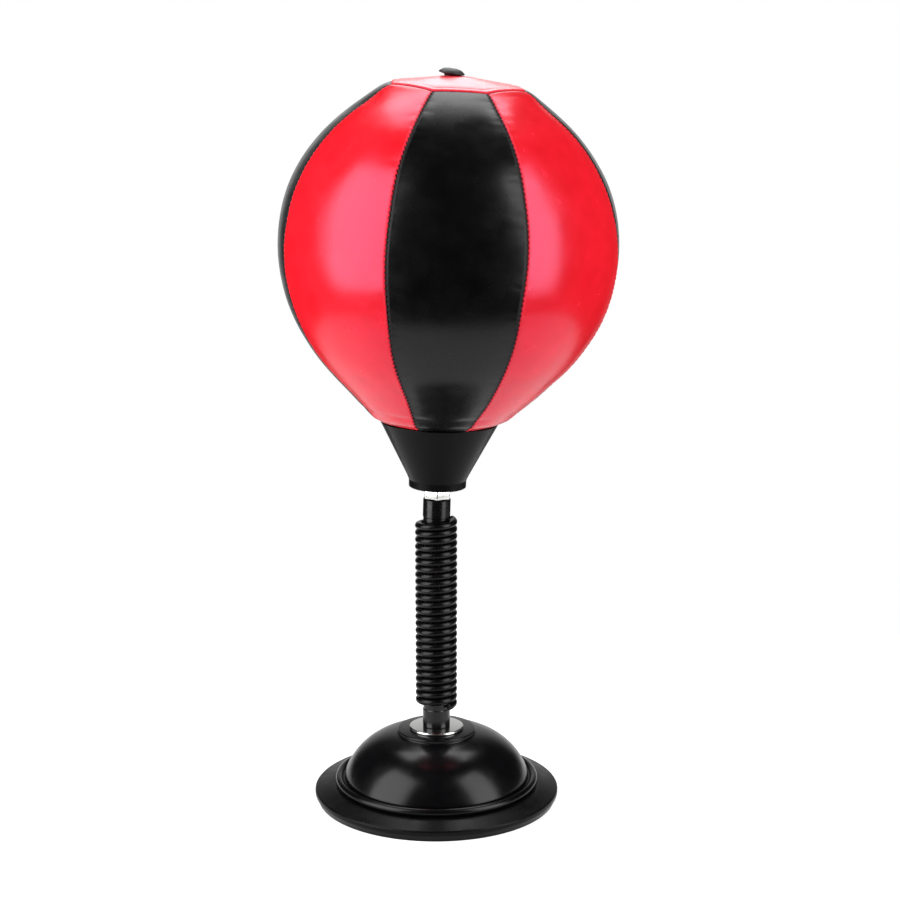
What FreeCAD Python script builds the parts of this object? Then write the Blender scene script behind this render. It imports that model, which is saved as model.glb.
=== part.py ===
"""Desktop reflex punching ball: a sewn eight-panel ball on a coil-spring post and a suction base.

Millimetres, +Z up. The origin is the middle of the pad's underside, on the table.
"""
import FreeCAD, Part
import math
import os

from FreeCAD import Vector

# Pad and draw stud
PAD_R = 60.0
PAD_RIM_H = 5.6
PAD_UNDERCUT = 1.6
PAD_SEAT_R = 50.5
PAD_SEAT_H = 8.0
PAD_WEB_R = 42.0
PAD_WEB_H = 6.4
PAD_HUB_R = 15.0
PAD_HUB_H = 9.4
PLATE_R = 12.0
PLATE_Z = 4.1
PLATE_T = 2.6
MOULD_GAP = 0.1
STUD_R = 4.0
STUD_BORE_R = 4.05
STUD_HOLE_R = 4.4
DRAW_STUD_TOP = 50.0

# Dome of the base
BEAD_R = 48.0
BEAD_WIRE_R = 2.0
DOME_FOOT_R = 45.6
DOME_FOOT_Z = 11.6
DOME_ARC_RISE = 5.0
DOME_WALL = 2.6
BOSS_R = 19.0
BOSS_Z = 33.4
BOSS_TOP = 35.2
WASHER_R = 13.3
WASHER_T = 1.4

# Spring and its two plugs
WIRE_R = 1.7
COIL_R = 8.55
PITCH = 3.52
SPRING_Z = 48.0
SPRING_START_DEG = -45.0
SPRING_STRETCH_TURNS = [5.2, 5.3, 5.3, 5.3, 5.1]
SPRING_NODES = ["spring_foot", "spring_low", "spring_mid", "spring_high", "spring_crown"]
PLUG_R = 6.65
PLUG_CORE_R = 6.4
LOWER_PLUG_SHOULDER = 45.8
LOWER_PLUG_TOP = 57.0
UPPER_PLUG_BOTTOM = 132.0
UPPER_PLUG_SHOULDER = 142.4
UPPER_PLUG_TOP = 151.8
PLUG_BORE_FLOOR = 137.0

# Everything above the spring stands slightly off plumb, towards +X
LEAN_DEG = 1.8
LEAN_Z = 137.0

# Cone cup and what is clamped inside it
NUT_FLATS = 12.0
JAM_NUT_T = 5.6
CUP_Z = UPPER_PLUG_TOP + JAM_NUT_T
CUP_FOOT_R = 13.8
CUP_LIP_Z = 161.3
CUP_RIM_R = 28.5
CUP_RIM_Z = 189.6
CUP_WALL = 2.4
CUP_FLOOR_T = 3.0
CUP_WASHER_R = 8.5
CUP_WASHER_T = 1.6
CUP_NUT_T = 5.0
COLLAR_Z = 168.6
COLLAR_T = 1.2
COLLAR_GAP = 0.5
DISC_T = 13.0
DISC_NUT_T = 4.5
TOP_STUD_TOP = 190.0

# Ball
BALL_R = 80.0
BALL_Z = 272.0
COVER_T = 1.5
PANEL_WIDTHS_DEG = [44.7, 48.4, 43.8, 43.8, 43.7, 43.8, 43.8, 48.0]
FIRST_SEAM_DEG = -19.6
SEAM_GAP_DEG = 0.2
BALL_FOOT_R = 31.0
BALL_FOOT_Z = 190.2
PATCH_CORNER_R = 31.3
PATCH_GAP = 0.2
BLADDER_GAP = 0.8
BLADDER_T = 1.0
BLADDER_FLOOR_Z = 192.0
VALVE_HEAD_R = 6.0
VALVE_STEM_R = 3.2
VALVE_NEEDLE_R = 1.1
VALVE_BOTTOM = 333.0
VALVE_TOP = 355.5
VALVE_HOLE_R = 3.6

AXIS_BASE = Vector(0, 0, 0)
AXIS = Vector(0, 0, 1)


def point(r, z):
    return Vector(r, 0, z)


def outline(start, *steps):
    """A closed outline in the XZ plane: (r, z) is a line, ((r, z), (r, z)) an arc through the first."""
    edges = []
    here = point(*start)
    for step in steps + (start,):
        curved = isinstance(step[0], tuple)
        there = point(*(step[1] if curved else step))
        if (there - here).Length < 1e-6:
            continue
        if curved:
            edges.append(Part.Arc(here, point(*step[0]), there).toShape())
        else:
            edges.append(Part.LineSegment(here, there).toShape())
        here = there
    return Part.Face(Part.Wire(edges))


def turned(start, *steps, angle=360.0):
    """A solid turned about the Z axis from an outline."""
    return outline(start, *steps).revolve(AXIS_BASE, AXIS, angle)


def ring(inner, outer, z, height):
    return turned((inner, z), (outer, z), (outer, z + height), (inner, z + height))


def on_circle(radius, centre_z, elevation_deg):
    """The (r, z) of a point on the ball's section at an elevation above its equator."""
    e = math.radians(elevation_deg)
    return radius * math.cos(e), centre_z + radius * math.sin(e)


def leaned(shape):
    """The head's tilt off plumb, about the middle of the upper plug."""
    tilted = shape.copy()
    tilted.rotate(Vector(0, 0, LEAN_Z), Vector(0, 1, 0), LEAN_DEG)
    return tilted


def save(name, shape):
    if not shape.isValid() or len(shape.Solids) != 1:
        raise ValueError(f"{name}: {len(shape.Solids)} solids, valid {shape.isValid()}")
    shape.exportStep(f"parts/{name}.step")
    print(f"{name:16s} {shape.Volume / 1000:8.2f} cm3")


# Base

def suction_pad():
    """Soft disc, flat on the table when slack, with the steel plate moulded into its hub."""
    plate_top = PLATE_Z + PLATE_T + MOULD_GAP
    pocket_r = PLATE_R + MOULD_GAP
    return turned(
        (0, 0),
        (PAD_R - PAD_UNDERCUT, 0),
        (PAD_R - 0.4, 2.6),
        ((PAD_R - 0.1, 3.1), (PAD_R, 3.7)),
        (PAD_R, PAD_RIM_H - 0.8),
        ((PAD_R - 0.23, PAD_RIM_H - 0.2), (PAD_R - 0.9, PAD_RIM_H)),
        (PAD_SEAT_R, PAD_SEAT_H),
        (PAD_WEB_R + 1.6, PAD_SEAT_H),
        (PAD_WEB_R, PAD_WEB_H),
        (PAD_HUB_R + 1.0, PAD_WEB_H),
        (PAD_HUB_R, PAD_HUB_H),
        (STUD_R + MOULD_GAP, PAD_HUB_H),
        (STUD_R + MOULD_GAP, plate_top),
        (pocket_r, plate_top),
        (pocket_r, PLATE_Z - MOULD_GAP),
        (0, PLATE_Z - MOULD_GAP),
    )


def stud_plate():
    return Part.makeCylinder(PLATE_R, PLATE_T, point(0, PLATE_Z))


def draw_stud():
    bottom = PLATE_Z + PLATE_T
    return turned(
        (0, bottom),
        (STUD_R, bottom),
        (STUD_R, DRAW_STUD_TOP - 0.8),
        (STUD_R - 0.8, DRAW_STUD_TOP),
        (0, DRAW_STUD_TOP),
    )


def dome_arc(inset):
    """Foot, middle and top of the dome's arc, moved inwards by the inset."""
    chord = Vector(BOSS_R - DOME_FOOT_R, 0, BOSS_Z - DOME_FOOT_Z)
    out = Vector(chord.z, 0, -chord.x).normalize()
    middle = point((BOSS_R + DOME_FOOT_R) / 2, (BOSS_Z + DOME_FOOT_Z) / 2) + out * DOME_ARC_RISE
    points = [point(DOME_FOOT_R, DOME_FOOT_Z), middle, point(BOSS_R, BOSS_Z)]
    moved = [p - out * inset for p in points]
    return [(p.x, p.z) for p in moved]


def base_dome():
    """Shell with a bead round its foot and a flat boss for the washer."""
    foot, middle, top = dome_arc(0)
    inner_foot, inner_middle, inner_top = dome_arc(DOME_WALL)
    bead_bottom = PAD_SEAT_H
    bead_centre = bead_bottom + BEAD_WIRE_R
    ceiling = BOSS_TOP - 4.0
    return turned(
        (inner_foot[0], bead_bottom),
        (BEAD_R, bead_bottom),
        ((BEAD_R + BEAD_WIRE_R, bead_centre), (BEAD_R, bead_centre + BEAD_WIRE_R)),
        ((BEAD_R - 1.5, bead_centre + 1.3), foot),
        (middle, top),
        (BOSS_R + 0.2, BOSS_Z + 0.2),
        (BOSS_R + 0.2, BOSS_TOP - 0.5),
        ((BOSS_R + 0.05, BOSS_TOP - 0.15), (BOSS_R - 0.3, BOSS_TOP)),
        (STUD_HOLE_R, BOSS_TOP),
        (STUD_HOLE_R, ceiling),
        (inner_top[0], ceiling),
        (inner_middle, inner_foot),
    )


def base_washer():
    return ring(STUD_HOLE_R, WASHER_R, BOSS_TOP, WASHER_T)


# Post

def lower_plug():
    """Plug the post turns by: it stands on the washer and screws up the draw stud."""
    bottom = BOSS_TOP + WASHER_T
    return turned(
        (STUD_BORE_R, bottom),
        (PLUG_R - 0.4, bottom),
        (PLUG_R, bottom + 0.4),
        (PLUG_R, LOWER_PLUG_SHOULDER - 0.4),
        (PLUG_CORE_R, LOWER_PLUG_SHOULDER),
        (PLUG_CORE_R, LOWER_PLUG_TOP),
        (STUD_BORE_R, LOWER_PLUG_TOP),
    )


def spring_stretch(first_turn, turns):
    """A run of the close-wound right-hand coil, with square-cut wire ends."""
    helix = Part.makeHelix(PITCH, PITCH * turns, COIL_R)
    path = Part.Wire(helix.Edges)
    along = Vector(0, 2 * math.pi * COIL_R, PITCH)
    section = Part.Wire([Part.makeCircle(WIRE_R, Vector(COIL_R, 0, 0), along)])
    coil = path.makePipeShell([section], True, True)
    coil.rotate(AXIS_BASE, AXIS, SPRING_START_DEG + 360.0 * first_turn)
    coil.translate(point(0, SPRING_Z + PITCH * first_turn))
    return coil


def upper_plug():
    """Plug wound into the top coils, with a blind hole for the top stud."""
    return turned(
        (0, UPPER_PLUG_BOTTOM),
        (PLUG_CORE_R, UPPER_PLUG_BOTTOM),
        (PLUG_CORE_R, UPPER_PLUG_SHOULDER),
        (PLUG_R, UPPER_PLUG_SHOULDER + 0.4),
        (PLUG_R, UPPER_PLUG_TOP - 0.6),
        (PLUG_R - 0.5, UPPER_PLUG_TOP),
        (STUD_BORE_R, UPPER_PLUG_TOP),
        (STUD_BORE_R, PLUG_BORE_FLOOR),
        (0, PLUG_BORE_FLOOR),
    )


# Head

def hexagon(flats, z, height):
    """A hexagonal bar with one corner towards -Y."""
    corner = flats / math.sqrt(3)
    corners = []
    for k in range(7):
        a = math.radians(60 * k - 90)
        corners.append(Vector(corner * math.cos(a), corner * math.sin(a), z))
    return Part.Face(Part.makePolygon(corners)).extrude(Vector(0, 0, height))


def nut(z, height):
    """Hexagon nut with both ends chamfered by a cone."""
    corner = NUT_FLATS / math.sqrt(3)
    cut = 0.5
    blank = turned(
        (STUD_BORE_R, z),
        (corner - 2 * cut, z),
        (corner, z + cut),
        (corner, z + height - cut),
        (corner - 2 * cut, z + height),
        (STUD_BORE_R, z + height),
    )
    return blank.common(hexagon(NUT_FLATS, z - 1, height + 2))


def top_stud():
    bottom = PLUG_BORE_FLOOR + 0.2
    return Part.makeCylinder(STUD_R, TOP_STUD_TOP - bottom, point(0, bottom))


def cup_inner_r(z):
    """Radius of the cup's inner cone at a height."""
    slope = (CUP_RIM_R - CUP_FOOT_R) / (CUP_RIM_Z - CUP_LIP_Z)
    return CUP_FOOT_R - CUP_WALL + slope * (z - CUP_LIP_Z)


def cone_cup():
    floor = CUP_Z + CUP_FLOOR_T
    return turned(
        (STUD_HOLE_R, CUP_Z),
        (CUP_FOOT_R - 0.6, CUP_Z),
        ((CUP_FOOT_R - 0.18, CUP_Z + 0.18), (CUP_FOOT_R, CUP_Z + 0.6)),
        (CUP_FOOT_R, CUP_LIP_Z),
        (CUP_RIM_R, CUP_RIM_Z),
        (cup_inner_r(CUP_RIM_Z), CUP_RIM_Z),
        (cup_inner_r(CUP_LIP_Z), CUP_LIP_Z),
        (cup_inner_r(CUP_LIP_Z), floor),
        (STUD_HOLE_R, floor),
    )


def cup_washer():
    return ring(STUD_HOLE_R, CUP_WASHER_R, CUP_Z + CUP_FLOOR_T, CUP_WASHER_T)


def neck_collar():
    """Doubled fabric mouth of the cover: a flange under the disc and a skirt lining the cup."""
    low = cup_inner_r(COLLAR_Z) - COLLAR_GAP
    high = cup_inner_r(CUP_RIM_Z) - COLLAR_GAP
    return turned(
        (STUD_HOLE_R, COLLAR_Z),
        (low, COLLAR_Z),
        (high, CUP_RIM_Z),
        (high - COLLAR_T, CUP_RIM_Z),
        (low - COLLAR_T, COLLAR_Z + COLLAR_T),
        (STUD_HOLE_R, COLLAR_Z + COLLAR_T),
    )


def retaining_disc():
    """Cone-sided moulding that clamps the collar into the cup."""
    bottom = COLLAR_Z + COLLAR_T
    inset = COLLAR_GAP + COLLAR_T * 1.3 + 0.6
    return turned(
        (STUD_HOLE_R, bottom),
        (cup_inner_r(bottom) - inset, bottom),
        (cup_inner_r(bottom + DISC_T) - inset, bottom + DISC_T),
        (STUD_HOLE_R, bottom + DISC_T),
    )


def cover_section(depth):
    """Foot, tangent point, middle of the arc and crown of the cover, at a depth under its surface."""
    tangent_deg = -45.0
    foot_r = BALL_FOOT_R - depth * math.sqrt(2)
    tangent = on_circle(BALL_R - depth, BALL_Z, tangent_deg)
    middle = on_circle(BALL_R - depth, BALL_Z, 10.0)
    return (foot_r, BALL_FOOT_Z), tangent, middle, (0, BALL_Z + BALL_R - depth)


def cover_blank(angle):
    """The whole cover, or a slice of it: a ball that runs down to a cone."""
    foot, tangent, middle, crown = cover_section(0)
    inner_foot, inner_tangent, inner_middle, inner_crown = cover_section(COVER_T)
    return turned(
        foot,
        tangent,
        (middle, crown),
        inner_crown,
        (inner_middle, inner_tangent),
        inner_foot,
        angle=angle,
    )


def seam_deg(number):
    """Azimuth of the seam at a panel's near edge, turned from -Y towards +X."""
    return FIRST_SEAM_DEG - 90 + sum(PANEL_WIDTHS_DEG[:number])


def patch_prism(corner_r):
    """Eight-sided prism over the crown, with its corners on the panels' seams."""
    corners = []
    for number in range(len(PANEL_WIDTHS_DEG) + 1):
        a = math.radians(seam_deg(number))
        corners.append(Vector(corner_r * math.cos(a), corner_r * math.sin(a), BALL_Z))
    return Part.Face(Part.makePolygon(corners)).extrude(Vector(0, 0, BALL_R + 10))


def panel(number):
    """One of the eight gores; number 0 faces -Y."""
    gore = cover_blank(PANEL_WIDTHS_DEG[number] - SEAM_GAP_DEG)
    gore.rotate(AXIS_BASE, AXIS, seam_deg(number) + SEAM_GAP_DEG / 2)
    return gore.cut(patch_prism(PATCH_CORNER_R + PATCH_GAP))


def top_patch():
    hole = Part.makeCylinder(VALVE_HOLE_R, 20, point(0, BALL_Z + BALL_R - 10))
    return cover_blank(360.0).common(patch_prism(PATCH_CORNER_R)).cut(hole)


def bladder():
    """Rubber bag that fills the cover, open at the crown round the valve's stem."""
    outer_r = BALL_R - COVER_T - BLADDER_GAP
    inner_r = outer_r - BLADDER_T
    mouth_z = BALL_Z + math.sqrt(outer_r ** 2 - VALVE_HOLE_R ** 2)
    inner_mouth_z = BALL_Z + math.sqrt(inner_r ** 2 - VALVE_HOLE_R ** 2)
    tangent = on_circle(outer_r, BALL_Z, -45.0)
    inner_tangent = on_circle(inner_r, BALL_Z, -45.0)
    floor_r = tangent[0] - (tangent[1] - BLADDER_FLOOR_Z)
    inner_floor_z = BLADDER_FLOOR_Z + BLADDER_T
    inner_floor_r = inner_tangent[0] - (inner_tangent[1] - inner_floor_z)
    return turned(
        (0, BLADDER_FLOOR_Z),
        (floor_r, BLADDER_FLOOR_Z),
        tangent,
        (on_circle(outer_r, BALL_Z, 10.0), (VALVE_HOLE_R, mouth_z)),
        (VALVE_HOLE_R, inner_mouth_z),
        (on_circle(inner_r, BALL_Z, 10.0), inner_tangent),
        (inner_floor_r, inner_floor_z),
        (0, inner_floor_z),
    )


def valve_button():
    """Rubber valve with a low round head and a needle hole right through."""
    seat = BALL_Z + BALL_R + 0.1
    return turned(
        (VALVE_NEEDLE_R, VALVE_BOTTOM),
        (VALVE_STEM_R, VALVE_BOTTOM),
        (VALVE_STEM_R, seat),
        (VALVE_HEAD_R, seat),
        (VALVE_HEAD_R, seat + 1.2),
        ((VALVE_HEAD_R - 1.7, VALVE_TOP - 0.6), (VALVE_NEEDLE_R + 0.9, VALVE_TOP)),
        (VALVE_NEEDLE_R, VALVE_TOP),
    )


def build_base():
    save("suction_pad", suction_pad())
    save("stud_plate", stud_plate())
    save("draw_stud", draw_stud())
    save("base_dome", base_dome())
    save("base_washer", base_washer())


def build_post():
    save("lower_plug", lower_plug())
    first_turn = 0.0
    for name, turns in zip(SPRING_NODES, SPRING_STRETCH_TURNS):
        save(name, spring_stretch(first_turn, turns))
        first_turn += turns


def build_head():
    save("upper_plug", leaned(upper_plug()))
    save("jam_nut", leaned(nut(UPPER_PLUG_TOP, JAM_NUT_T)))
    save("top_stud", leaned(top_stud()))
    save("cone_cup", leaned(cone_cup()))
    save("cup_washer", leaned(cup_washer()))
    save("cup_nut", leaned(nut(CUP_Z + CUP_FLOOR_T + CUP_WASHER_T, CUP_NUT_T)))
    save("neck_collar", leaned(neck_collar()))
    save("retaining_disc", leaned(retaining_disc()))
    save("disc_nut", leaned(nut(COLLAR_Z + COLLAR_T + DISC_T, DISC_NUT_T)))
    save("bladder", leaned(bladder()))
    save("valve_button", leaned(valve_button()))
    save("top_patch", leaned(top_patch()))
    for number in range(len(PANEL_WIDTHS_DEG)):
        colour = "red" if number % 2 else "black"
        save(f"{colour}_panel_{number // 2 + 1}", leaned(panel(number)))


os.makedirs("parts", exist_ok=True)
build_base()
build_post()
build_head()
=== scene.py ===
# %% [markdown]
# # A desktop reflex punching ball
# The real object is a small sewn ball on a coil spring. The spring screws into a domed base with a
# suction pad, so the ball can be hit again and again on a table and always comes back.
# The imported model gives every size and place. This script adds the looks piece by piece: what each
# piece is, how it could be made, and why it is made this way.

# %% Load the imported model
import math
import bpy
import numpy as np
from mathutils import Matrix, Vector


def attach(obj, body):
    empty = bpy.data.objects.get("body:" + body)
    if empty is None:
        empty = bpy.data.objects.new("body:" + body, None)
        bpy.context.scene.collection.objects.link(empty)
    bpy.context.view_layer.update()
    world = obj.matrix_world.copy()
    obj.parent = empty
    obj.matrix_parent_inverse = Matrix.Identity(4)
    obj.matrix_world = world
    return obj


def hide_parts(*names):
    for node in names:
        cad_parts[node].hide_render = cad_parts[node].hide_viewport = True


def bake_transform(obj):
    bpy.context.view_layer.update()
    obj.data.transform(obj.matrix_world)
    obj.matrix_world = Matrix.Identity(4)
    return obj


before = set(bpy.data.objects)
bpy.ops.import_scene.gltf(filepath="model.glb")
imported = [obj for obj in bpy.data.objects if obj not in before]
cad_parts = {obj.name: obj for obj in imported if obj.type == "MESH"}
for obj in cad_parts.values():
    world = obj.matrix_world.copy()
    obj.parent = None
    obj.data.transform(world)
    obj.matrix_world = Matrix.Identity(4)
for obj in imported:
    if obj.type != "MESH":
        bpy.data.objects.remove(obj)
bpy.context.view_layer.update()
MM = 0.001


# %% [markdown]
# ## Camera and studio
# A product like this is shot with a long lens from a little above, so the ball stays round and the
# base still shows its top. The studio is a white cove behind, a white table, two tall soft boxes at
# the front corners, a third one above and behind, and a small bright card close behind the ball.
# The cove is painted with the world, bright behind and dark in front, because black gloss shows
# whatever stands in front of it.

# %% The camera
def add_camera(place_mm, pitch_deg, lens_mm):
    bpy.ops.object.camera_add(location=[v * MM for v in place_mm])
    camera = bpy.context.object
    camera.rotation_euler = (math.radians(90 - pitch_deg), 0, 0)
    camera.data.lens = lens_mm
    camera.data.sensor_width = 36
    camera.data.clip_start = 0.01
    bpy.context.scene.camera = camera
    return camera


CAMERA_PLACE, CAMERA_PITCH, LENS = (6.7, -936.7, 374.8), 12.03, 80
camera = add_camera(CAMERA_PLACE, CAMERA_PITCH, LENS)
bpy.context.scene.view_settings.view_transform = "Standard"
print("camera", tuple(round(v, 3) for v in camera.location))


# %% Node helper: one function adds any shader node
def node(tree, kind, links=None, **settings):
    """Adds a node, sets its properties, then its inputs from values or other nodes' sockets."""
    made = tree.nodes.new(kind)
    for key, value in settings.items():
        setattr(made, key, value)
    for name, value in (links or {}).items():
        socket = made.inputs[name]
        if isinstance(value, bpy.types.NodeSocket):
            tree.links.new(value, socket)
        else:
            socket.default_value = value
    return made


def linear(hex_colour):
    """An sRGB hex colour as the linear RGBA that shaders use."""
    channels = [int(hex_colour[k:k + 2], 16) / 255 for k in (1, 3, 5)]
    return [c / 12.92 if c <= 0.04045 else ((c + 0.055) / 1.055) ** 2.4 for c in channels] + [1.0]


print("middle grey #808080 is", round(linear("#808080")[0], 3), "to a shader")


# %% The world: a white cove behind, dark in front
def paint_world(back_light, front_light, seen_light):
    world = bpy.data.worlds.new("studio_cove")
    bpy.context.scene.world = world
    world.use_nodes = True
    tree = world.node_tree
    tree.nodes.clear()
    place = node(tree, "ShaderNodeTexCoord")
    split = node(tree, "ShaderNodeSeparateXYZ", {"Vector": place.outputs["Generated"]})
    fade = node(tree, "ShaderNodeMapRange",
                {"Value": split.outputs["Y"], "From Min": 0.82, "From Max": 1.0,
                 "To Min": front_light, "To Max": back_light}, interpolation_type="SMOOTHSTEP")
    ray = node(tree, "ShaderNodeLightPath")
    seen = node(tree, "ShaderNodeMix", {"Factor": ray.outputs["Is Camera Ray"],
                                        "A": fade.outputs["Result"], "B": seen_light})
    glow = node(tree, "ShaderNodeBackground",
                {"Color": (1, 1, 1, 1), "Strength": seen.outputs["Result"]})
    node(tree, "ShaderNodeOutputWorld", {"Surface": glow.outputs["Background"]})


paint_world(back_light=0.85, front_light=0.02, seen_light=1.0)
print("world:", bpy.context.scene.world.name)


# %% Soft boxes
BALL_AIM = Vector((0.004, 0, 0.272))


def soft_box(name, azimuth_deg, elevation_deg, distance, width, height, power):
    """A soft box aimed at the ball; azimuth 0 is straight in front, positive to the right."""
    a, e = math.radians(azimuth_deg), math.radians(elevation_deg)
    toward = Vector((math.sin(a) * math.cos(e), -math.cos(a) * math.cos(e), math.sin(e)))
    bpy.ops.object.light_add(type="AREA", location=BALL_AIM + toward * distance)
    lamp = bpy.context.object
    lamp.name = name
    lamp.rotation_euler = toward.to_track_quat("Z", "Y").to_euler()
    lamp.data.shape = "RECTANGLE"
    lamp.data.size = width
    lamp.data.size_y = height
    lamp.data.energy = power
    lamp.visible_camera = False
    return lamp


soft_box("left_soft_box", -63, 14, distance=0.9, width=0.8, height=1.3, power=15.5)
soft_box("right_soft_box", 62, 14, distance=0.9, width=0.58, height=1.3, power=11)
soft_box("top_soft_box", 180, 64, distance=1.4, width=1.3, height=0.6, power=12)
soft_box("back_card", 180, 40, distance=0.5, width=0.2, height=0.24, power=0.5)


# %% Materials for the stage
def principled(name, **inputs):
    """A new material and its tree, with the shader's own sockets set."""
    material = bpy.data.materials.new(name)
    material.use_nodes = True
    tree = material.node_tree
    shader = tree.nodes["Principled BSDF"]
    for key, value in inputs.items():
        shader.inputs[key.replace("_", " ")].default_value = value
    return material, tree, shader


def table_top():
    """White laminate that glows a little, so the table looks white and shows no hard shadow.
    The glow has one strength for lighting pieces, one for the camera and one for reflections."""
    lights, shows, mirrors = 0.42, 0.8, 0.56
    material, tree, shader = principled("white_laminate", Base_Color=linear("#b8b8b8"),
                                        Roughness=0.6, Specular_IOR_Level=0.1,
                                        Emission_Color=(1, 1, 1, 1))
    ray = node(tree, "ShaderNodeLightPath")
    seen = node(tree, "ShaderNodeMapRange",
                {"Value": ray.outputs["Is Camera Ray"], "To Min": lights, "To Max": shows})
    glow = node(tree, "ShaderNodeMix",
                {"Factor": ray.outputs["Is Glossy Ray"], "A": seen.outputs["Result"], "B": mirrors})
    tree.links.new(glow.outputs["Result"], shader.inputs["Emission Strength"])
    return material


TABLE_RADIUS, TABLE_STRETCH, TABLE_BACK = 0.31, 1.5, 0.02
bpy.ops.object.select_all(action="DESELECT")
bpy.ops.mesh.primitive_circle_add(vertices=128, radius=TABLE_RADIUS, fill_type="NGON",
                                  location=(0, TABLE_BACK, 0))
bpy.ops.transform.resize(value=(TABLE_STRETCH, 1, 1))
table = bpy.context.object
table.name = "table_top"
table.data.materials.append(table_top())
print("table", [round(v, 3) for v in table.dimensions[:2]], "m")


# %% [markdown]
# ## Modelling helpers
# Turned pieces are made the way a lathe makes them: an outline is drawn once and spun about the
# post's axis. A circle primitive gives the outline its loop of vertices, its points are moved into
# place, and the spin operator sweeps it round.

# %% Points along an arc
def arc(start, through, end, count):
    """Points of the arc from start to end through a middle point, without its start."""
    (x1, y1), (x2, y2), (x3, y3) = start, through, end
    d = 2 * (x1 * (y2 - y3) + x2 * (y3 - y1) + x3 * (y1 - y2))
    s1, s2, s3 = x1 * x1 + y1 * y1, x2 * x2 + y2 * y2, x3 * x3 + y3 * y3
    cx = (s1 * (y2 - y3) + s2 * (y3 - y1) + s3 * (y1 - y2)) / d
    cy = (s1 * (x3 - x2) + s2 * (x1 - x3) + s3 * (x2 - x1)) / d
    a1, a2, a3 = (math.atan2(y - cy, x - cx) for x, y in (start, through, end))
    sweep = (a3 - a1) % (2 * math.pi)
    if (a2 - a1) % (2 * math.pi) > sweep:
        sweep -= 2 * math.pi
    radius = math.hypot(x1 - cx, y1 - cy)
    angles = [a1 + sweep * k / count for k in range(1, count + 1)]
    return [(cx + radius * math.cos(a), cy + radius * math.sin(a)) for a in angles]


quarter = arc((1, 0), (0.7071, 0.7071), (0, 1), 3)
print("a quarter circle in three steps:", [(round(x, 2), round(y, 2)) for x, y in quarter])


# %% Closing, smoothing and spinning a mesh
def tidy_mesh(piece):
    """Merges doubles and points the faces outwards."""
    bpy.context.view_layer.objects.active = piece
    bpy.ops.object.mode_set(mode="EDIT")
    bpy.ops.mesh.select_all(action="SELECT")
    bpy.ops.mesh.remove_doubles(threshold=1e-6)
    bpy.ops.mesh.normals_make_consistent(inside=False)
    bpy.ops.object.mode_set(mode="OBJECT")


def smooth(piece, angle_deg=35):
    bpy.ops.object.select_all(action="DESELECT")
    piece.select_set(True)
    bpy.context.view_layer.objects.active = piece
    bpy.ops.object.shade_smooth_by_angle(angle=math.radians(angle_deg))


def turned(name, outline_mm, steps=96):
    """A solid of revolution from a closed (radius, height) outline in millimetres."""
    bpy.ops.object.select_all(action="DESELECT")
    bpy.ops.mesh.primitive_circle_add(vertices=len(outline_mm), radius=1)
    piece = bpy.context.object
    piece.name = name
    for vertex, (r, z) in zip(piece.data.vertices, outline_mm):
        vertex.co = (r * MM, 0, z * MM)
    bpy.ops.object.mode_set(mode="EDIT")
    bpy.ops.mesh.select_all(action="SELECT")
    bpy.ops.mesh.spin(steps=steps, angle=2 * math.pi, center=(0, 0, 0), axis=(0, 0, 1))
    bpy.ops.object.mode_set(mode="OBJECT")
    tidy_mesh(piece)
    smooth(piece)
    return piece


print("helpers made: tidy_mesh, smooth and turned")


# %% Applying modifiers and dressing a finished piece
def apply_modifiers(piece):
    bpy.ops.object.select_all(action="DESELECT")
    piece.select_set(True)
    bpy.context.view_layer.objects.active = piece
    for modifier in list(piece.modifiers):
        bpy.ops.object.modifier_apply(modifier=modifier.name)


def dress(piece, material, slot, body=None, *replaced):
    """Gives a piece its finish, its body and the nodes it replaces; the slot argument is not used.
    """
    piece.data.materials.clear()
    piece.data.materials.append(material)
    if body:
        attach(piece, body)
    if replaced:
        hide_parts(*replaced)
    return piece


# %% [markdown]
# ## Finishes
# Each finish is named for the real material and the way its surface was made. Nearly all of them
# are built in the same three layers: cloudy patches that shift the colour a little, the same
# patches making some places duller, and a fine grain that tilts the light. Patterns read Object
# coordinates in metres, so a pattern of 2 mm has a scale of 1000 / 2 and stays put on every view.

# %% One recipe for a surface with patches and grain
def patchy_surface(name, dark, light, dull, patch_mm, grain_mm, depth_mm, stretch=(1, 1, 1),
                   **inputs):
    """Patches about patch_mm across shift colour and roughness; grain about grain_mm is raised."""
    material, tree, shader = principled(name, **inputs)
    place = node(tree, "ShaderNodeTexCoord").outputs["Object"]
    patches = node(tree, "ShaderNodeTexNoise",
                   {"Vector": place, "Scale": 1000 / patch_mm, "Detail": 3.0}).outputs["Fac"]
    colour = node(tree, "ShaderNodeMix",
                  {0: patches, 6: linear(dark), 7: linear(light)}, data_type="RGBA")
    rough = node(tree, "ShaderNodeMapRange", {"Value": patches, "From Min": 0.3, "From Max": 0.7,
                                              "To Min": dull[0], "To Max": dull[1]})
    along = node(tree, "ShaderNodeMapping", {"Vector": place, "Scale": stretch})
    grain = node(tree, "ShaderNodeTexNoise",
                 {"Vector": along.outputs["Vector"], "Scale": 1000 / grain_mm, "Detail": 2.0})
    bump = node(tree, "ShaderNodeBump",
                {"Height": grain.outputs["Fac"], "Distance": depth_mm * MM, "Strength": 1.0})
    tree.links.new(colour.outputs[2], shader.inputs["Base Color"])
    tree.links.new(rough.outputs["Result"], shader.inputs["Roughness"])
    tree.links.new(bump.outputs["Normal"], shader.inputs["Normal"])
    return material


print("a 2 mm pattern has a scale of", 1000 / 2)


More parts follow.
